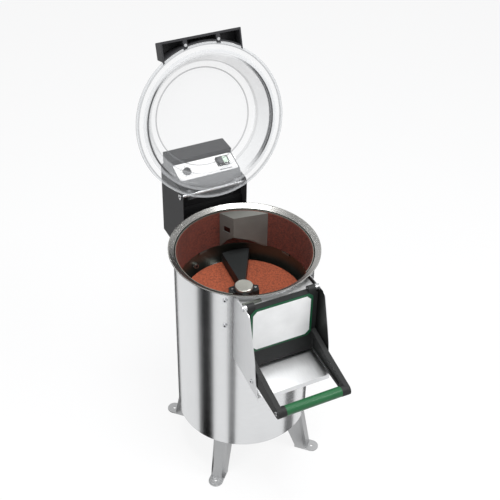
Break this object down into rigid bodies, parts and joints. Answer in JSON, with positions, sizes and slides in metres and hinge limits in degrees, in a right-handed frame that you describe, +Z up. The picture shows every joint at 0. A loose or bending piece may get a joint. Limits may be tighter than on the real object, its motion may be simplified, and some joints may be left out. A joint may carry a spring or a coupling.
{
  "type": "electric potato peeler",
  "caption": "Floor-standing drum peeler on splayed legs with abrasive plate and wall, clear lid, front discharge door, rear control tower and belt drive.",
  "frame": {"origin": "centre of the foot bolt circle, on the floor plane and the drum's axis", "axes": "+Z up along the drum's axis, -Y towards the discharge chute, +X to the right as seen from the chute"},
  "size_m": [0.363, 0.6716, 1.0407],
  "materials": {
    "stainless": "satin brushed stainless sheet",
    "cast_aluminium": "plain cast and turned aluminium",
    "bright_steel": "bright turned steel",
    "hub_metal": "satin dished cap",
    "black_rubber": "matt black rubber",
    "wall_grit": "coarse dark red-brown abrasive in resin",
    "plate_grit": "coarse orange-red abrasive in resin",
    "black_vane": "matt black moulding",
    "charcoal": "fine-grained charcoal moulding",
    "grip_green": "satin green tube",
    "label_green": "printed green border",
    "label_white": "plain off-white film",
    "tower_grey": "dark grey fine-texture coat",
    "hood_black": "matt black moulding",
    "clear_lid": "clear formed sheet",
    "key_green": "pale green key",
    "key_dark": "dark grey key",
    "brass_fitting": "plain turned brass"
  },
  "bodies": {
    "frame": {"tank_shell": "stainless", "base_ring": "stainless", "leg_front_left": "stainless", "leg_front_right": "stainless", "leg_rear_left": "stainless", "leg_rear_right": "stainless", "leg_screws": "bright_steel", "chamber_floor": "stainless", "drive_deck": "cast_aluminium", "bearing_housing": "cast_aluminium", "spindle_bearings": "bright_steel", "shaft_seal": "black_rubber", "motor_housing": "cast_aluminium", "drive_belt": "black_rubber", "liner_sleeve": "stainless", "wall_abrasive": "wall_grit", "liner_rests": "stainless", "deflector_wedge": "stainless", "chute_plate_left": "stainless", "chute_plate_right": "stainless", "chute_tray": "stainless", "chute_screws": "bright_steel", "tower_housing": "tower_grey", "tower_front": "tower_grey", "hinge_rod": "bright_steel", "hinge_screws": "bright_steel", "control_head": "tower_grey", "control_panel": "label_white", "switch_bezel": "hood_black", "drain_spigot": "stainless", "water_inlet": "brass_fitting", "cable_gland": "black_rubber", "door_pins": "bright_steel"},
    "plate": {"spindle": "bright_steel", "driven_pulley": "cast_aluminium", "pulley_nut": "bright_steel", "plate_disc": "cast_aluminium", "plate_abrasive": "plate_grit", "vane_bar": "black_vane", "hub_cap": "hub_metal", "vane_screws": "bright_steel"},
    "rotor": {"motor_shaft": "bright_steel", "drive_pulley": "cast_aluminium"},
    "lid": {"lid_bowl": "clear_lid", "lid_handle": "hood_black", "handle_screws": "bright_steel"},
    "door": {"door_frame": "charcoal", "label_border": "label_green", "label_face": "label_white", "door_skin": "stainless", "door_magnet": "bright_steel", "door_arm_left": "charcoal", "door_arm_right": "charcoal", "grip_tube": "grip_green", "grip_sockets": "charcoal", "grip_screws": "bright_steel"},
    "timer": {"timer_knob": "hood_black"},
    "start": {"start_key": "key_green"},
    "stop": {"stop_key": "key_dark"}
  },
  "joints": [
    {"name": "plate_spin", "type": "hinge", "parent": "frame", "child": "plate", "pos_m": [0, 0, 0.33], "axis": [0, 0, 1], "continuous": true},
    {"name": "rotor_spin", "type": "hinge", "parent": "frame", "child": "rotor", "pos_m": [-0.098, 0, 0.28], "axis": [0, 0, 1], "continuous": true},
    {"name": "lid_hinge", "type": "hinge", "parent": "frame", "child": "lid", "pos_m": [0, 0.179, 0.663], "axis": [1, 0, 0], "range_deg": [0, 106.5]},
    {"name": "door_hinge", "type": "hinge", "parent": "frame", "child": "door", "pos_m": [0, -0.185, 0.603], "axis": [-1, 0, 0], "range_deg": [0, 60]},
    {"name": "timer_turn", "type": "hinge", "parent": "frame", "child": "timer", "pos_m": [-0.05, 0.21895, 0.7003], "axis": [0, 0.2807, -0.9598], "range_deg": [0, 300]},
    {"name": "start_press", "type": "slide", "parent": "frame", "child": "start", "axis": [0, 0.2807, -0.9598], "range_m": [0, 0.0022]},
    {"name": "stop_press", "type": "slide", "parent": "frame", "child": "stop", "axis": [0, 0.2807, -0.9598], "range_m": [0, 0.0022]}
  ],
  "couplings": [
    {"joint": "rotor_spin", "follows": "plate_spin", "ratio": 5.0667}
  ]
}
